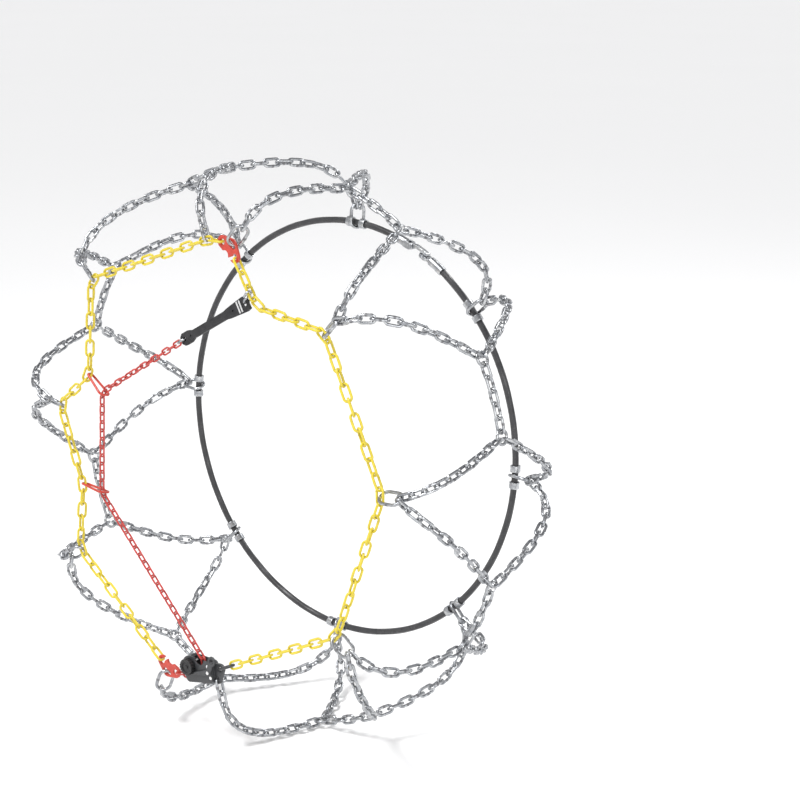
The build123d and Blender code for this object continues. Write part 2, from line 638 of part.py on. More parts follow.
with BuildPart() as knob:
    with BuildSketch(roller_plane.offset(KNOB_FOOT)):
        Circle(KNOB_RADIUS)
        with PolarLocations(KNOB_RADIUS, KNOB_RIBS):
            Circle(KNOB_RIB_RADIUS)
    extrude(amount=KNOB_HEIGHT)
    with BuildSketch(roller_plane.offset(KNOB_FOOT)):
        Circle(AXLE_RADIUS)
    extrude(amount=KNOB_BORE_DEPTH, mode=Mode.SUBTRACT)
    rim_radius, boss_radius, recess_depth = KNOB_RECESS
    with BuildSketch(roller_plane.offset(KNOB_FOOT + KNOB_HEIGHT - recess_depth)):
        Circle(rim_radius)
        Circle(boss_radius, mode=Mode.SUBTRACT)
    extrude(amount=recess_depth, mode=Mode.SUBTRACT)
write(knob, "lock_knob")

PAWL_EYELET = (21.4, 13.2, 6.0)                    # x, y and outer radius
PAWL_EYELET_HOLE = 3.2
PAWL_NECK = 3.4                                    # half width where it meets the eyelet
PAWL_NOSE = (-11.2, -1.8, 1.3)
PAWL_HUB = 3.8
PAWL_BORE = RIVET_RADIUS + 0.08
with BuildPart() as pawl:
    pivot_disc = (PAWL_PIVOT.X, PAWL_PIVOT.Y, PAWL_HUB)
    with BuildSketch(LOCK.offset(PAWL_RISE)):
        hull_sketch([pivot_disc, PAWL_NOSE])
    extrude(amount=PAWL_THICKNESS)
    with BuildSketch(LOCK.offset(PAWL_RISE)):
        hull_sketch([pivot_disc, (*PAWL_EYELET[:2], PAWL_NECK)])
        with Locations(PAWL_EYELET[:2]):
            Circle(PAWL_EYELET[2])
    extrude(amount=PAWL_THICKNESS)
    with BuildSketch(LOCK.offset(PAWL_RISE)):
        with Locations((PAWL_PIVOT.X, PAWL_PIVOT.Y)):
            Circle(PAWL_BORE)
        with Locations(PAWL_EYELET[:2]):
            Circle(PAWL_EYELET_HOLE)
    extrude(amount=PAWL_THICKNESS, mode=Mode.SUBTRACT)
write(pawl, "lock_pawl")

lock_link_plane = Plane(origin=(lock_link_near + lock_link_far) * 0.5, x_dir=lock_link_way,
                        z_dir=lock_link_way.cross(ACROSS))
write_links("lock_link", (closed_link(**LOCK_LINK), [lock_link_plane]))

# ================================================================ the rubber strap
STRAP_HALF_THICKNESS = 2.0
STRAP_HALF_WIDTHS = ((0, 4.2), (4, 7.5), (15, 7.5), (22, 5), (80, 5), (86, 6.2), (115, 9),
                     (121, 8))                     # distance from the left end, and half width
STRAP_HOOK_HOLE = (115.5, 2.9)                     # distance and radius
STRAP_DOTS = (17.5, 95)
STRAP_DOT_RADIUS = 1.2
STRAP_HOLE_ROUND = 0.9
STRAP_BARS = (105.5, 109.7)
STRAP_BAR_SIZE = (2.4, 14)
STRAP_BAR_RISE = 0.8
strap_plane = Plane(origin=STRAP_START, x_dir=strap_way, z_dir=(0, -1, 0))
outline = [(x, half) for x, half in STRAP_HALF_WIDTHS]
outline += [(x, -half) for x, half in reversed(STRAP_HALF_WIDTHS)]
with BuildPart() as strap:
    with BuildSketch(strap_plane.offset(-STRAP_HALF_THICKNESS)):
        with BuildLine():
            Polyline(*outline, close=True)
        make_face()
        for x, radius in ((STRAP_RING_HOLE, STRAP_RING_HOLE_RADIUS), STRAP_HOOK_HOLE,
                          *((dot, STRAP_DOT_RADIUS) for dot in STRAP_DOTS)):
            with Locations((x, 0)):
                Circle(radius, mode=Mode.SUBTRACT)
    extrude(amount=2 * STRAP_HALF_THICKNESS)
    rims = strap.edges().filter_by(GeomType.CIRCLE)
    fillet(rims.filter_by(lambda edge: edge.radius > STRAP_DOT_RADIUS + SAME_SIZE),
           STRAP_HOLE_ROUND)
write(strap, "strap")

with BuildPart() as bars:
    with BuildSketch(strap_plane.offset(STRAP_HALF_THICKNESS)):
        with Locations(*[(x, 0) for x in STRAP_BARS]):
            Rectangle(*STRAP_BAR_SIZE)
    extrude(amount=STRAP_BAR_RISE)
write(bars, "strap_bars")

ring_plane = Plane(origin=(strap_ring_near + strap_ring_far) * 0.5, x_dir=strap_way,
                   z_dir=strap_way.cross(ACROSS))
write_links("strap_ring", (closed_link(**STRAP_RING), [ring_plane]))

# the hook between the strap and the side chain: an oval end and an open end
STRAP_HOOK_WIRE = 2.6
STRAP_HOOK_BEND = 4.3                              # of the open end's centre line
STRAP_HOOK_TIP = 3.5
STRAP_HOOK_PLAY = 0.7
hole = STRAP_START + strap_way * STRAP_HOOK_HOLE[0]
caught = right_runs[0][2].origin
hook_way = (caught - hole).normalized()
oval = dict(wire=STRAP_HOOK_WIRE, length=7.4, width=7.0)
hook_plane = Plane(origin=hole, x_dir=hook_way, z_dir=hook_way.cross(ACROSS * -1))
oval_middle = STRAP_HOOK_HOLE[1] - EYE_PLAY + oval["length"] / 2
oval_plane = Plane(origin=hole + hook_way * oval_middle, x_dir=hook_way, z_dir=hook_plane.z_dir)
shank_start = oval_middle + (oval["length"] + STRAP_HOOK_WIRE) / 2
bend_middle = ((caught - hole).length + (SIDE["wire"] + STRAP_HOOK_WIRE) / 2
               - STRAP_HOOK_BEND + STRAP_HOOK_PLAY)
with BuildPart() as strap_hook:
    with Locations(oval_plane.location):
        add(closed_link(**oval))
    with BuildLine(hook_plane):
        Line((shank_start, 0), (bend_middle, 0))
        CenterArc((bend_middle, STRAP_HOOK_BEND), STRAP_HOOK_BEND, -90, 180)
        Line((bend_middle, 2 * STRAP_HOOK_BEND),
             (bend_middle - STRAP_HOOK_TIP, 2 * STRAP_HOOK_BEND))
    with BuildSketch(Plane(origin=hole + hook_way * shank_start, z_dir=hook_way)):
        Circle(STRAP_HOOK_WIRE / 2)
    sweep()
write(strap_hook, "strap_hook")


# ================================================================ the inner cable
def bent_tube(start, stop, outer, inner=0, mode=Mode.ADD):
    """A tube along the cable's circle between two clock angles, in the open part."""
    away, clockwise = clock_axes(start)
    with BuildSketch(Plane(origin=spot(start, CABLE_RADIUS, FLANK), x_dir=away,
                           z_dir=clockwise)) as section:
        Circle(outer)
        if inner:
            Circle(inner, mode=Mode.SUBTRACT)
    revolve(section.sketch, axis=Axis.Y, revolution_arc=stop - start, mode=mode)


CABLE_JOINT = 26.5                                 # clock angle of the cable's closure
CABLE_END = 5.0                                    # from the closure to the cable's ends
FERRULE = (4.2, 8.8, 5.6)                          # from and to, in degrees, and radius
COLLAR = (1.35, 3.1, 6.2)                          # the same, off the joining link
COLLAR_PLAY = 0.05
cable_radius = CABLE_WIRE / 2
with BuildPart() as cable:
    bent_tube(CABLE_JOINT + CABLE_END, CABLE_JOINT + 360 - CABLE_END, cable_radius)
write(cable, "inner_cable")

with BuildPart() as collars:
    for sector in range(SECTORS):
        middle = FIRST_SECTOR + SECTOR * sector
        near, far, radius = COLLAR
        bent_tube(middle + near, middle + far, radius, cable_radius + COLLAR_PLAY)
        bent_tube(middle - far, middle - near, radius, cable_radius + COLLAR_PLAY)
write(collars, "cable_collars")

joint_plane = Plane(origin=spot(CABLE_JOINT, CABLE_RADIUS, FLANK),
                    x_dir=clock_axes(CABLE_JOINT)[1], z_dir=(0, -1, 0))
flat_plane = Plane(origin=joint_plane.origin, x_dir=joint_plane.x_dir,
                   z_dir=joint_plane.y_dir)
EYE_PLATE = dict(low=-2.2, high=0.8, centre=9.5, radius=8.0, hole=4.6, root=20.5)
BORE_MARGIN = 1.0                                  # of a ferrule's bore past its end, in degrees
near, far, radius = FERRULE
with BuildPart() as eye_end:
    bent_tube(CABLE_JOINT + near, CABLE_JOINT + far, radius)
    with BuildSketch(flat_plane.offset(EYE_PLATE["low"])):
        with Locations((EYE_PLATE["centre"], 0)):
            Circle(EYE_PLATE["radius"])
        with Locations(((EYE_PLATE["centre"] + EYE_PLATE["root"]) / 2, 0)):
            Rectangle(EYE_PLATE["root"] - EYE_PLATE["centre"], 2 * radius)
        with Locations((EYE_PLATE["centre"], 0)):
            Circle(EYE_PLATE["hole"], mode=Mode.SUBTRACT)
    extrude(amount=EYE_PLATE["high"] - EYE_PLATE["low"])
    bent_tube(CABLE_JOINT + CABLE_END, CABLE_JOINT + far + BORE_MARGIN, cable_radius,
              mode=Mode.SUBTRACT)
write(eye_end, "cable_eye_end")

CABLE_HINGE = (-14.0, 0.0)
LUG = (3.3, 5.8, 4.2)                              # inner and outer face, and radius
LUG_ROOT = (-21, -1)
PIN_RADIUS = 1.9
PIN_PLAY = 0.1
PIN_HEAD = (3.2, 1.0)                              # radius and height
HOOK_ARM = [(-6, 3.8, 2), (11.5, 3.8, 2)]          # rounds of the closure hook's arm
HOOK_ARM_HALF = 3.0
HOOK_PEG = dict(radius=2.8, low=-5.5, high=3.5)    # drops through the eye plate
with BuildPart() as fork_end:
    bent_tube(CABLE_JOINT - far, CABLE_JOINT - near, radius)
    for face in (LUG[0], -LUG[1]):
        with BuildSketch(joint_plane.offset(face)):
            hull_sketch([(*CABLE_HINGE, LUG[2]), (*LUG_ROOT, LUG[2])],
                        [(*CABLE_HINGE, PIN_RADIUS + PIN_PLAY)])
        extrude(amount=LUG[1] - LUG[0])
    bent_tube(CABLE_JOINT - far - BORE_MARGIN, CABLE_JOINT - CABLE_END, cable_radius,
              mode=Mode.SUBTRACT)
write(fork_end, "cable_fork_end")

with BuildPart() as cable_hook:
    for rounds in ([(*CABLE_HINGE, LUG[2]), HOOK_ARM[0]], HOOK_ARM):
        with BuildSketch(joint_plane.offset(-HOOK_ARM_HALF)):
            hull_sketch(rounds)
        extrude(amount=2 * HOOK_ARM_HALF)
    with BuildSketch(flat_plane.offset(HOOK_PEG["low"])):
        with Locations((EYE_PLATE["centre"], 0)):
            Circle(HOOK_PEG["radius"])
    extrude(amount=HOOK_PEG["high"] - HOOK_PEG["low"])
    with BuildSketch(joint_plane.offset(-HOOK_ARM_HALF)):
        with Locations(CABLE_HINGE):
            Circle(PIN_RADIUS + PIN_PLAY)
    extrude(amount=2 * HOOK_ARM_HALF, mode=Mode.SUBTRACT)
write(cable_hook, "cable_hook")

with BuildPart() as hook_pin:
    head_radius, head_height = PIN_HEAD
    for level, radius, height in ((-LUG[1] - head_height, head_radius, head_height),
                                  (-LUG[1], PIN_RADIUS, 2 * LUG[1]),
                                  (LUG[1], head_radius, head_height)):
        with BuildSketch(joint_plane.offset(level)):
            with Locations(CABLE_HINGE):
                Circle(radius)
        extrude(amount=height)
write(hook_pin, "cable_hook_pin")
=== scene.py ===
"""Tire snow chains: how the net, its hooks, its lock and its strap look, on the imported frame."""

from math import cos, pi, radians, sin, tau

import bpy
import numpy as np
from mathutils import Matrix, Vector


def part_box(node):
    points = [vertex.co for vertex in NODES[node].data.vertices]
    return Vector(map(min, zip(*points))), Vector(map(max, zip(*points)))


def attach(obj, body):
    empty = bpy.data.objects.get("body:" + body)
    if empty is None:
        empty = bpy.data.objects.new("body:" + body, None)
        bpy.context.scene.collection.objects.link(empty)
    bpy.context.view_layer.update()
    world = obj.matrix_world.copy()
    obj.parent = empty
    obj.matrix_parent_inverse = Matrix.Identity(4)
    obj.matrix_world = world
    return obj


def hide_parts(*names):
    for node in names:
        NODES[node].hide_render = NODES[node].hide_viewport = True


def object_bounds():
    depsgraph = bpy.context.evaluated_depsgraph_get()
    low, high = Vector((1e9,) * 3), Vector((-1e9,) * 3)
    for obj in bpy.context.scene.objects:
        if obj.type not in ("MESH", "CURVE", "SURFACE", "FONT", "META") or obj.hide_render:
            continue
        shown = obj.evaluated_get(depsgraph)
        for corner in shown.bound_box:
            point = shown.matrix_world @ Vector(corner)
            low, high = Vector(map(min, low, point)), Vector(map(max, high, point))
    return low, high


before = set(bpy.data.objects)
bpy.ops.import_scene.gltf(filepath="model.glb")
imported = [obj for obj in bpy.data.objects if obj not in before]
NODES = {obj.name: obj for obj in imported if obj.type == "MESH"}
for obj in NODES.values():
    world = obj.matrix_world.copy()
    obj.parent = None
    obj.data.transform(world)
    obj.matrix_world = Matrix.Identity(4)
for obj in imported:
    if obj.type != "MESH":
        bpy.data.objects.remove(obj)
CAD_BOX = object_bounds()
MM = 0.001
rng = np.random.default_rng(11)

# ---------------------------------------------------------------- camera
AZIMUTH = radians(43.03)                           # from the outer face, towards +X
ELEVATION = radians(14.15)
DISTANCE = 2.472                                   # from the frame's origin, in metres
LENS = 91.9                                        # mm, on the sensor below
SENSOR = 36
AIM_RIGHT = 0.0593                                 # the aim's slope off the frame's origin
AIM_UP = 0.0222
NEAR, FAR = 0.05, 50                               # clipping distances

back = Vector((sin(AZIMUTH) * cos(ELEVATION), -cos(AZIMUTH) * cos(ELEVATION), sin(ELEVATION)))
right = Vector((cos(AZIMUTH), sin(AZIMUTH), 0))
up = back.cross(right)
lens = bpy.data.cameras.new("camera")
lens.lens = LENS
lens.sensor_width = SENSOR
lens.clip_start = NEAR
lens.clip_end = FAR
camera = bpy.data.objects.new("camera", lens)
bpy.context.scene.collection.objects.link(camera)
camera.location = back * DISTANCE
aim = -back + right * AIM_RIGHT + up * AIM_UP
camera.rotation_euler = aim.to_track_quat("-Z", "Y").to_euler()
bpy.context.scene.camera = camera


# ---------------------------------------------------------------- shader helpers
def feed(tree, socket, value):
    """Gives a socket a value or another node's output."""
    if isinstance(value, bpy.types.NodeSocket):
        tree.links.new(value, socket)
    else:
        socket.default_value = value


def node(tree, kind, inputs=None, **settings):
    """Adds a shader node. An input is a value or another node's output."""
    made = tree.nodes.new(kind)
    for key, value in settings.items():
        setattr(made, key, value)
    for key, value in (inputs or {}).items():
        feed(tree, made.inputs[key], value)
    return made


def start_material(name, **uniform):
    """A new material with its shader, whose uniform values are set on its own sockets."""
    made = bpy.data.materials.new(name)
    made.use_nodes = True
    shader = made.node_tree.nodes["Principled BSDF"]
    for key, value in uniform.items():
        shader.inputs[key.replace("_", " ")].default_value = value
    return made, made.node_tree, shader


def noise(tree, size, detail, stretch=(1, 1, 1)):
    """Noise whose blobs are about size metres across, with detail octaves of finer ones."""
    place = node(tree, "ShaderNodeTexCoord")
    scaled = node(tree, "ShaderNodeMapping",
                  {"Vector": place.outputs["Object"], "Scale": stretch})
    return node(tree, "ShaderNodeTexNoise",
                {"Vector": scaled.outputs["Vector"], "Scale": 1 / size, "Detail": detail,
                 "Roughness": 0.55}).outputs["Fac"]


def attribute(tree, name):
    """A number that the mesh carries at its vertices."""
    return node(tree, "ShaderNodeAttribute", attribute_name=name).outputs["Fac"]


def pick(tree, value, low, high, to_low=0.0, to_high=1.0):
    """Maps value from low..high to to_low..to_high, held at its ends."""
    return node(tree, "ShaderNodeMapRange",
                {"Value": value, "From Min": low, "From Max": high,
                 "To Min": to_low, "To Max": to_high}).outputs["Result"]


def work_out(tree, operation, *values):
    """A sum, product or difference of values or outputs."""
    made = node(tree, "ShaderNodeMath", operation=operation)
    for socket, value in zip(made.inputs, values):
        feed(tree, socket, value)
    return made.outputs[0]


def speckle(tree, spots, amount):
    """Noise about zero, amount wide, which frays the edge of a worn patch."""
    return work_out(tree, "MULTIPLY", work_out(tree, "SUBTRACT", spots, 0.5), amount)


MIX_AMOUNT, MIX_FIRST, MIX_SECOND = 0, 6, 7        # a mix node's sockets for colours
MIX_RESULT = 2


def blend_colours(tree, amount, first, second):
    """Goes from the first colour to the second as the amount goes from 0 to 1."""
    made = node(tree, "ShaderNodeMix", data_type="RGBA")
    feed(tree, made.inputs[MIX_AMOUNT], amount)
    for number, colour in ((MIX_FIRST, first), (MIX_SECOND, second)):
        solid = not isinstance(colour, bpy.types.NodeSocket)
        feed(tree, made.inputs[number], (*colour, 1) if solid else colour)
    return made.outputs[MIX_RESULT]


def bump(tree, shader, height, distance):
    """Raises the surface by the height times distance, in metres."""
    raised = node(tree, "ShaderNodeBump", {"Height": height, "Distance": distance})
    tree.links.new(raised.outputs["Normal"], shader.inputs["Normal"])


def link_up(tree, shader, **sockets):
    """Links outputs to the shader's sockets of the same names."""
    for key, value in sockets.items():
        tree.links.new(value, shader.inputs[key.replace("_", " ")])


# ---------------------------------------------------------------- materials
def galvanised():
    """Zinc plate on steel: cloudy patches, a bright rub where links touch, a duller weld."""
    made, tree, shader = start_material("galvanised_steel", Metallic=1.0)
    clouds = noise(tree, 6 * MM, 4)
    fine = noise(tree, 0.9 * MM, 2)
    plate = blend_colours(tree, pick(tree, clouds, 0.35, 0.68), (0.3, 0.31, 0.33),
                          (0.56, 0.57, 0.58))
    tinted = blend_colours(tree, pick(tree, attribute(tree, "tint"), 0, 1, 0, 0.35), plate,
                           (0.22, 0.23, 0.25))
    rubbed = pick(tree, work_out(tree, "ADD", attribute(tree, "rub"), speckle(tree, fine, 0.6)),
                  0.5, 0.8)
    welded = pick(tree, work_out(tree, "ADD", attribute(tree, "weld"), speckle(tree, fine, 0.5)),
                  0.35, 0.7)
    bright = blend_colours(tree, rubbed, tinted, (0.7, 0.7, 0.7))
    dulled = blend_colours(tree, welded, bright, (0.2, 0.2, 0.21))
    wear = work_out(tree, "SUBTRACT", work_out(tree, "MULTIPLY", welded, 0.2),
                    work_out(tree, "MULTIPLY", rubbed, 0.06))
    rough = work_out(tree, "ADD", pick(tree, clouds, 0.3, 0.7, 0.36, 0.22), wear)
    link_up(tree, shader, Base_Color=dulled, Roughness=rough)
    raised = work_out(tree, "ADD", fine, work_out(tree, "MULTIPLY", clouds, 2.0))
    bump(tree, shader, raised, 0.06 * MM)
    return made


def painted_wire(name, colour, shade, chip=0.62):
    """Paint on link wire: colour drifts from link to link, and bare steel shows at the rubs.
    A chip nearer to 1 leaves less steel bare."""
    made, tree, shader = start_material(name, Coat_Weight=0.25, Coat_Roughness=0.2)
    fine = noise(tree, 0.8 * MM, 3)
    clouds = noise(tree, 5 * MM, 3)
    coat = blend_colours(tree, pick(tree, clouds, 0.3, 0.75, 0, 0.55), colour, shade)
    tinted = blend_colours(tree, pick(tree, attribute(tree, "tint"), 0, 1, 0, 0.3), coat, shade)
    worn = work_out(tree, "ADD", attribute(tree, "rub"), speckle(tree, fine, 1.1))
    bare = pick(tree, worn, chip, chip + 0.14)
    rough = work_out(tree, "ADD", pick(tree, clouds, 0.3, 0.7, 0.42, 0.3),
                     work_out(tree, "MULTIPLY", bare, -0.06))
    link_up(tree, shader, Base_Color=blend_colours(tree, bare, tinted, (0.45, 0.44, 0.42)),
            Metallic=bare, Roughness=rough)
    raised = work_out(tree, "SUBTRACT", work_out(tree, "MULTIPLY", fine, 0.6), bare)
    bump(tree, shader, raised, 0.07 * MM)
    return made


def painted_plate(name, colour, shade, bare_colour, roughness):
    """Paint or powder coat on plate: orange peel, and edges rubbed to metal."""
    made, tree, shader = start_material(name, Coat_Weight=0.15, Coat_Roughness=0.3)
    peel = noise(tree, 0.8 * MM, 2)
    clouds = noise(tree, 7 * MM, 4)
    coat = blend_colours(tree, pick(tree, clouds, 0.3, 0.7), colour, shade)
    edge = node(tree, "ShaderNodeNewGeometry").outputs["Pointiness"]
    worn = work_out(tree, "ADD", edge, speckle(tree, clouds, 0.16))
    bare = pick(tree, worn, 0.585, 0.64, 0, 0.85)
    link_up(tree, shader, Base_Color=blend_colours(tree, bare, coat, bare_colour),
            Metallic=bare,
            Roughness=pick(tree, clouds, 0.3, 0.7, roughness + 0.06, roughness - 0.06))
    bump(tree, shader, peel, 0.05 * MM)
    return made


def moulded(name, colour, shade, roughness, grain, depth):
    """Moulded plastic or rubber: grain of a size and depth in metres, and a little grey dust."""
    made, tree, shader = start_material(name, Specular_IOR_Level=0.36)
    fine = noise(tree, grain, 2)
    clouds = noise(tree, 12 * MM, 4)
    scuffs = noise(tree, 2.5 * MM, 3, stretch=(1, 1, 3))
    body = blend_colours(tree, pick(tree, clouds, 0.35, 0.7), colour, shade)
    dusty = blend_colours(tree, pick(tree, scuffs, 0.62, 0.8, 0, 0.35), body, (0.16, 0.16, 0.16))
    link_up(tree, shader, Base_Color=dusty,
            Roughness=pick(tree, clouds, 0.3, 0.7, roughness + 0.08, roughness - 0.08))
    bump(tree, shader, work_out(tree, "ADD", fine, scuffs), depth)
    return made


def bright_metal():
    """Bare bright steel with fine drawn lines."""
    made, tree, shader = start_material("bright_steel", Metallic=1.0)
    lines = noise(tree, 0.6 * MM, 2, stretch=(8, 1, 1))
    clouds = noise(tree, 4 * MM, 3)
    link_up(tree, shader,
            Base_Color=blend_colours(tree, clouds, (0.62, 0.62, 0.63), (0.86, 0.86, 0.85)),
            Roughness=pick(tree, lines, 0.3, 0.7, 0.16, 0.34))
    bump(tree, shader, lines, 0.03 * MM)
    return made


ZINC = galvanised()
YELLOW = painted_wire("yellow_paint", (0.71, 0.58, 0.035), (0.5, 0.37, 0.015))
RED_WIRE = painted_wire("red_paint", (0.52, 0.045, 0.035), (0.34, 0.02, 0.015), chip=0.7)
RED_PLATE = painted_plate("red_plate_paint", (0.56, 0.055, 0.032), (0.42, 0.03, 0.018),
                          bare_colour=(0.42, 0.36, 0.34), roughness=0.34)
LOCK_GREY = painted_plate("lock_powder_coat", (0.045, 0.047, 0.05), (0.028, 0.029, 0.032),
                          bare_colour=(0.28, 0.28, 0.29), roughness=0.44)
PLASTIC = moulded("black_plastic", (0.01, 0.01, 0.011), (0.022, 0.022, 0.023),
                  roughness=0.3, grain=0.4 * MM, depth=0.03 * MM)
RUBBER = moulded("black_rubber", (0.015, 0.015, 0.017), (0.028, 0.028, 0.03),
                 roughness=0.6, grain=0.5 * MM, depth=0.06 * MM)
CABLE_COAT = moulded("cable_coat", (0.035, 0.035, 0.038), (0.055, 0.055, 0.058),
                     roughness=0.3, grain=0.7 * MM, depth=0.04 * MM)
STEEL = bright_metal()


# ---------------------------------------------------------------- bent wire links
JOINED = 1e-7                                      # metres between corners that are one


def vertex_places(mesh):
    """The places of a mesh's vertices, one row each."""
    places = np.empty(len(mesh.vertices) * 3)
    mesh.vertices.foreach_get("co", places)
    return places.reshape(-1, 3)


def arrays(piece):
    """A CAD node's vertex positions and its triangles, with shared corners made one."""
    mesh = piece.data
    corners = np.empty(len(mesh.loops), dtype=np.int64)
    mesh.loops.foreach_get("vertex_index", corners)
    rounded = np.round(vertex_places(mesh) / JOINED).astype(np.int64)
    places, joined = np.unique(rounded, axis=0, return_inverse=True)
    return places * JOINED, joined.reshape(-1)[corners].reshape(-1, 3)


def islands(triangles, count):
    """Numbers the connected bodies of a mesh, one number a vertex.
    Each vertex takes the lowest label near it, again and again, until nothing changes."""
    label = np.arange(count)
    while True:
        low = label[triangles].min(axis=1)
        found = label.copy()
        for corner in range(3):
            np.minimum.at(found, triangles[:, corner], low)
        found = found[found]
        if (found == label).all():
            return np.unique(label, return_inverse=True)[1].reshape(-1)
        label = found


def link_frames(piece):
    """Each link's centre and axes, long side first and thin side last.
    They are the axes of its surface's spread. A round ring's first two can lie anyhow."""
    places, triangles = arrays(piece)
    label = islands(triangles, len(places))[triangles[:, 0]]
    first, second, third = (places[triangles[:, corner]] for corner in range(3))
    area = np.linalg.norm(np.cross(second - first, third - first), axis=1)
    middle = (first + second + third) / 3
    for number in range(label.max() + 1):
        own = label == number
        weight = area[own] / area[own].sum()
        centre = weight @ middle[own]
        spread = middle[own] - centre
        axes = np.linalg.eigh((spread * weight[:, None]).T @ spread)[1][:, ::-1]
        if np.linalg.det(axes) < 0:
            axes[:, 2] *= -1
        yield centre, axes


NET_LINK = (3.5, 16.2, 5.3)                        # wire, inner length and inner width, in mm
JOINING_LINK = (4.0, 25.0, 13.0)
LINK_SIZES = {                                     # of the links of the nodes with these names
    "outer_legs": NET_LINK,
    "inner_legs": NET_LINK,
    "tread_connector": NET_LINK,
    "outer_joining_links": JOINING_LINK,
    "inner_joining_links": JOINING_LINK,
    "tread_rings": (3.8, 13.0, 13.0),
    "side_chain": (3.0, 17.5, 6.0),
    "tension_chain": (2.2, 11.4, 4.1),
    "lock_link": (3.6, 17.0, 6.0),
    "strap_ring": (2.6, 9.0, 7.0),
}
BEND_STEPS = 12                                    # round each end of a link
SIDE_STEPS = 8                                     # along each straight side
ROUND = 14                                         # corners round the wire
WELD_RISE = 0.13                                   # of the weld bead, in wire radii
WELD_SIDE_SHARE = 0.45                             # of that rise, above and below the wire
WELD_LENGTH = 0.55                                 # of half the bead, in wire thicknesses


def wire_stations(wire, length, width):
    """Points round a link's centre line, each with its way outwards and, on the side with the
    weld, its distance along that side. A round ring has no straight sides and no weld."""
    bend = (width + wire) / 2
    half = (length - width) / 2
    stations = []
    for end in (1, -1):
        for step in range(BEND_STEPS):
            turn = pi * step / BEND_STEPS
            way = Vector((sin(turn), cos(turn), 0)) * end
            stations.append((Vector((half * end, 0, 0)) + way * bend, way, None))
        if half > 0:
            for step in range(SIDE_STEPS):
                along = half * (1 - 2 * step / SIDE_STEPS) * end
                way = Vector((0, -end, 0))
                stations.append((Vector((along, 0, 0)) + way * bend, way,
                                 along if end > 0 else None))
    return stations


def link_template(wire, length, width):
    """Vertices of one link, in metres, with how rubbed and how welded each one is."""
    radius = wire / 2
    outer_share = 1 - WELD_SIDE_SHARE
    rows = []
    for centre, way, along in wire_stations(wire, length, width):
        bead = 0.0 if along is None else np.exp(-(along / (WELD_LENGTH * wire)) ** 2)
        for step in range(ROUND):
            turn = tau * step / ROUND
            outward = cos(turn)
            swell = radius * (1 + WELD_RISE * bead * (WELD_SIDE_SHARE + outer_share * outward))
            place = centre + way * (swell * outward) + Vector((0, 0, swell * sin(turn)))
            rub = abs(way.x) ** 1.5 * max(0.0, -outward) ** 0.7
            rows.append((*(place * MM), rub, bead))
    return np.array(rows)


def tube_faces(rows, around, closed):
    """Quads between rows of vertices with around of them in each, closed into a ring or not.
    They face outwards where a row's vertices turn anticlockwise, seen along the rows."""
    row, step = np.divmod(np.arange((rows if closed else rows - 1) * around), around)
    after_row = (row + 1) % rows
    after_step = (step + 1) % around
    return np.stack([row * around + step, after_row * around + step,
                     after_row * around + after_step, row * around + after_step], axis=1)


def mesh_object(name, places, faces, material, marks=None):
    """A smooth shaded object, with named values at its vertices."""
    mesh = bpy.data.meshes.new(name)
    mesh.from_pydata(places, [], faces)
    mesh.shade_smooth()
    for key, numbers in (marks or {}).items():
        layer = mesh.attributes.new(key, "FLOAT", "POINT")
        layer.data.foreach_set("value", np.ascontiguousarray(numbers, dtype=np.float32))
    mesh.materials.append(material)
    made = bpy.data.objects.new(name, mesh)
    bpy.context.scene.collection.objects.link(made)
    return made


def bent_links(name, size, material, slot, body):
    """One piece with all of a CAD node's links, each where the CAD has it.
    Which of its sides has the weld, and how dark it is, are left to chance."""
    template = link_template(*size)
    faces = tube_faces(len(template) // ROUND, ROUND, closed=True)[:, ::-1]   # it turns clockwise
    places, quads, tints = [], [], []
    for number, (centre, axes) in enumerate(link_frames(NODES[name])):
        turned = axes * np.array([rng.choice((-1, 1)), 1, 1])
        turned[:, 1] = np.cross(turned[:, 2], turned[:, 0])
        places.append(template[:, :3] @ turned.T + centre)
        quads.append(faces + number * len(template))
        tints.append(np.full(len(template), rng.random()))
    marks = {"rub": np.tile(template[:, 3], len(places)),
             "weld": np.tile(template[:, 4], len(places)),
             "tint": np.concatenate(tints)}
    made = mesh_object(f"{name}_links", np.concatenate(places).tolist(),
                       np.concatenate(quads).tolist(), material, marks)
    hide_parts(name)
    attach(made, body)


LINK_PAINTS = {"side_chain": (YELLOW, "yellow_paint"), "tension_chain": (RED_WIRE, "red_paint"),
               "lock_link": (LOCK_GREY, "lock_grey")}
LINK_BODIES = {"lock_link": "lock_link", "strap_ring": "strap_ring"}
for name in sorted(NODES):
    kind = next((kind for kind in LINK_SIZES if name.startswith(kind)), None)
    if kind:
        paint, slot = LINK_PAINTS.get(kind, (ZINC, "zinc"))
        bent_links(name, LINK_SIZES[kind], paint, slot, LINK_BODIES.get(name, "net"))


# ---------------------------------------------------------------- plates, hooks, knob and strap
def dress(name, material):
    """Gives a CAD node a material."""
    for slot in NODES[name].material_slots:
        slot.material = material


def soften(name, voxel, rounds, material):
    """Rounds a CAD node's sharp edges, as pressing, tumbling or moulding leaves them.
    The voxel is in mm, and each round smooths once more."""
    piece = NODES[name]
    joined = piece.modifiers.new("joined", "WELD")
    joined.merge_threshold = 10 * JOINED
    remesh = piece.modifiers.new("even", "REMESH")
    remesh.mode = "VOXEL"
    remesh.voxel_size = voxel * MM
    remesh.use_smooth_shade = True
    rounding = piece.modifiers.new("rounded", "SMOOTH")
    rounding.factor = 0.5
    rounding.iterations = rounds
    dress(name, material)


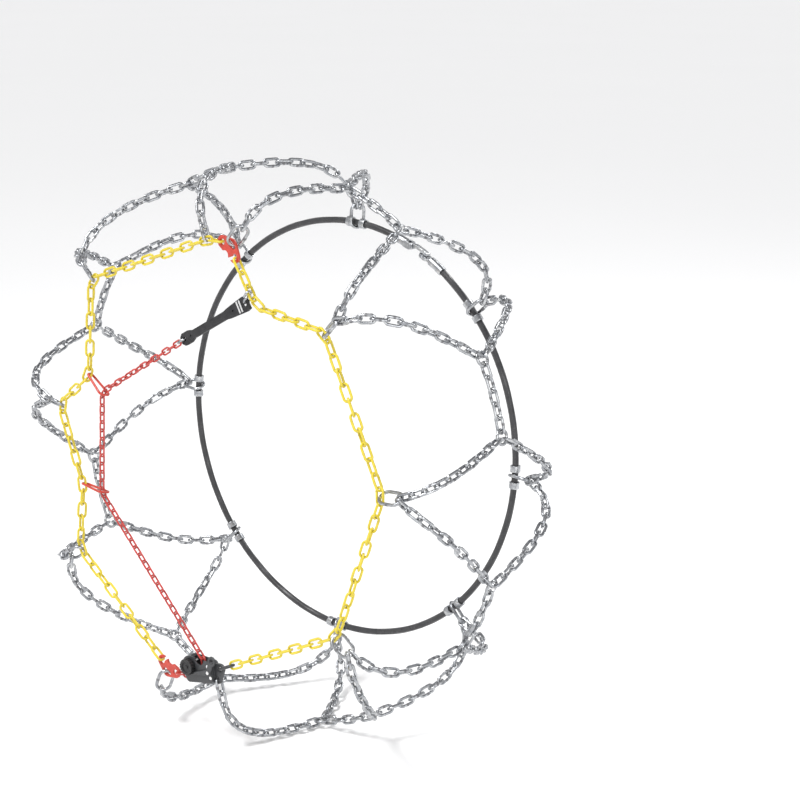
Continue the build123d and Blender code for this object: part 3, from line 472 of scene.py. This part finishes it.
SOFTENED = {                                       # voxel in mm, rounds of smoothing, material
    "closure_hook": (0.32, 16, RED_PLATE),
    "left_hook": (0.32, 16, RED_PLATE),
    "lock_body": (0.28, 2, LOCK_GREY),
    "lock_cover": (0.28, 2, LOCK_GREY),
    "lock_pawl": (0.28, 2, LOCK_GREY),
    "lock_rivets": (0.18, 4, STEEL),
    "lock_roller": (0.25, 3, PLASTIC),
    "lock_knob": (0.16, 1, PLASTIC),
    "strap": (0.3, 5, RUBBER),
    "strap_bars": (0.12, 3, STEEL),
    "cable_collars": (0.55, 2, ZINC),
    "cable_eye_end": (0.28, 4, ZINC),
    "cable_fork_end": (0.28, 4, ZINC),
    "cable_hook": (0.28, 4, ZINC),
    "cable_hook_pin": (0.28, 4, ZINC),
}
for name, (voxel, rounds, material) in SOFTENED.items():
    soften(name, voxel, rounds, material)
dress("guide_ring_lower", RED_PLATE)
dress("guide_ring_upper", RED_PLATE)
dress("strap_hook", ZINC)

# ---------------------------------------------------------------- the strap
STRAP_START = Vector((-34.9, 0, 145.3))            # its end at the chain, in mm
STRAP_END = Vector((71.6, 0, 202.9))               # its end at the hook
STRAP_DISTANCES = (0, 4, 15, 22, 80, 86, 115, 121)  # from the end at the chain
STRAP_HALVES = (4.2, 7.5, 7.5, 5, 5, 6.2, 9, 8)    # half widths there, in mm
STRAP_HALF_THICKNESS = 2.0
RIM_INSET = 1.35                                   # of the moulded rim's crest from the edge
RIM_WIDTH = 0.65
RIM_RISE = 0.42


def moulded_strap():
    """The strap with the raised rim that its mould leaves along both edges and faces."""
    source = NODES["strap"]
    graph = bpy.context.evaluated_depsgraph_get()
    mesh = bpy.data.meshes.new_from_object(source.evaluated_get(graph))
    source.modifiers.clear()
    points = vertex_places(mesh) / MM
    way = np.array((STRAP_END - STRAP_START).normalized())
    aside = np.array((-way[2], 0, way[0]))
    from_start = points - np.array(STRAP_START)
    half_width = np.interp(from_start @ way, STRAP_DISTANCES, STRAP_HALVES)
    inset = half_width - np.abs(from_start @ aside)
    low, high = (corner[1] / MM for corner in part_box("strap"))
    depth = (points[:, 1] - (low + high) / 2) / STRAP_HALF_THICKNESS
    facing = np.sign(depth) * np.clip((np.abs(depth) - 0.5) * 2, 0, 1)
    points[:, 1] += RIM_RISE * facing * np.exp(-((inset - RIM_INSET) / RIM_WIDTH) ** 2)
    mesh.vertices.foreach_set("co", (points * MM).ravel())
    mesh.materials.clear()
    mesh.materials.append(RUBBER)
    mesh.name = "moulded_strap"
    made = bpy.data.objects.new("moulded_strap", mesh)
    bpy.context.scene.collection.objects.link(made)
    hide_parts("strap")
    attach(made, "net")


moulded_strap()

# ---------------------------------------------------------------- the inner cable
CABLE_RADIUS = 262.0                               # of the hoop, in mm
CABLE_JOINT = 26.5                                 # clock angle of its closure, in degrees
CABLE_END = 5.0                                    # from the closure to the cable's ends
CABLE_STEP = 2.2                                   # along the cable, in mm
CABLE_ROUND = 42                                   # corners round the cable
STRANDS = 7
STRAND_LAY = 52.0                                  # length of one turn of a strand
COAT_RADIUS = 3.83                                 # midway between the ridges and the grooves
RIDGE = 0.15


def stranded_cable():
    """The coated cable: the strands under its coat show as ridges that wind along it."""
    low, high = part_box("inner_cable")
    level = (low[1] + high[1]) / 2 / MM
    arc = radians(360 - 2 * CABLE_END)
    count = int(arc * CABLE_RADIUS / CABLE_STEP)
    places = []
    for step in range(count + 1):
        along = arc * step / count
        angle = radians(CABLE_JOINT + CABLE_END) + along
        away = Vector((sin(angle), 0, cos(angle)))
        middle = away * CABLE_RADIUS + Vector((0, level, 0))
        twist = tau * along * CABLE_RADIUS / STRAND_LAY
        for corner in range(CABLE_ROUND):
            turn = tau * corner / CABLE_ROUND
            radius = COAT_RADIUS + RIDGE * cos(STRANDS * turn + twist)
            place = middle + away * (radius * cos(turn)) + Vector((0, radius * sin(turn), 0))
            places.append(place * MM)
    sides = tube_faces(count + 1, CABLE_ROUND, closed=False)
    first_cap = list(range(CABLE_ROUND))
    last_cap = [count * CABLE_ROUND + corner for corner in reversed(first_cap)]
    made = mesh_object("coated_cable", places, [*sides.tolist(), first_cap, last_cap], CABLE_COAT)
    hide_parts("inner_cable")
    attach(made, "net")


stranded_cable()

# ---------------------------------------------------------------- floor and light
FLOOR_HALF = 30.0                                  # far past the view, so that no edge shows


def lay_floor():
    """A matt white floor at the chain's lowest point."""
    paint, tree, shader = start_material("floor_paint", Roughness=0.8)
    white = blend_colours(tree, noise(tree, 1.5, 2), (0.93, 0.93, 0.93), (0.95, 0.95, 0.95))
    link_up(tree, shader, Base_Color=white)
    corners = [(x * FLOOR_HALF, y * FLOOR_HALF, CAD_BOX[0][2])
               for x, y in ((-1, -1), (1, -1), (1, 1), (-1, 1))]
    mesh_object("floor", corners, [(0, 1, 2, 3)], paint)


def surround():
    """A pale surround that darkens overhead, for the metal to reflect."""
    world = bpy.data.worlds.new("studio")
    bpy.context.scene.world = world
    world.use_nodes = True
    tree = world.node_tree
    way = node(tree, "ShaderNodeTexCoord").outputs["Generated"]
    height = node(tree, "ShaderNodeSeparateXYZ", {"Vector": way}).outputs["Z"]
    sky = blend_colours(tree, pick(tree, height, 0.15, 0.85), (0.87, 0.87, 0.87),
                        (0.28, 0.28, 0.29))
    feed(tree, tree.nodes["Background"].inputs["Color"], sky)


def softbox(name, place, size, power):
    """A soft area light that looks at the object. The size is in metres, the power in watts."""
    light = bpy.data.lights.new(name, "AREA")
    light.shape = "RECTANGLE"
    light.size, light.size_y = size
    light.energy = power
    made = bpy.data.objects.new(name, light)
    bpy.context.scene.collection.objects.link(made)
    made.location = place
    made.rotation_euler = (-Vector(place)).to_track_quat("-Z", "Y").to_euler()


def soft_sun(name, strength, width, lean):
    """A wide sun from above, for a soft shadow under the chain. Its angles are in degrees."""
    light = bpy.data.lights.new(name, "SUN")
    light.energy = strength
    light.angle = radians(width)
    made = bpy.data.objects.new(name, light)
    bpy.context.scene.collection.objects.link(made)
    made.rotation_euler = (radians(lean[0]), radians(lean[1]), 0)


lay_floor()
surround()
softbox("key", place=(-0.4, -2.0, 2.6), size=(0.8, 0.6), power=40)
softbox("fill", place=(2.5, -1.4, 0.9), size=(0.9, 1.6), power=22)
softbox("rim", place=(0.6, 2.2, 2.2), size=(1.2, 0.5), power=26)
soft_sun("overhead", strength=1.75, width=24, lean=(24, -14))
bpy.context.scene.view_settings.view_transform = "Standard"
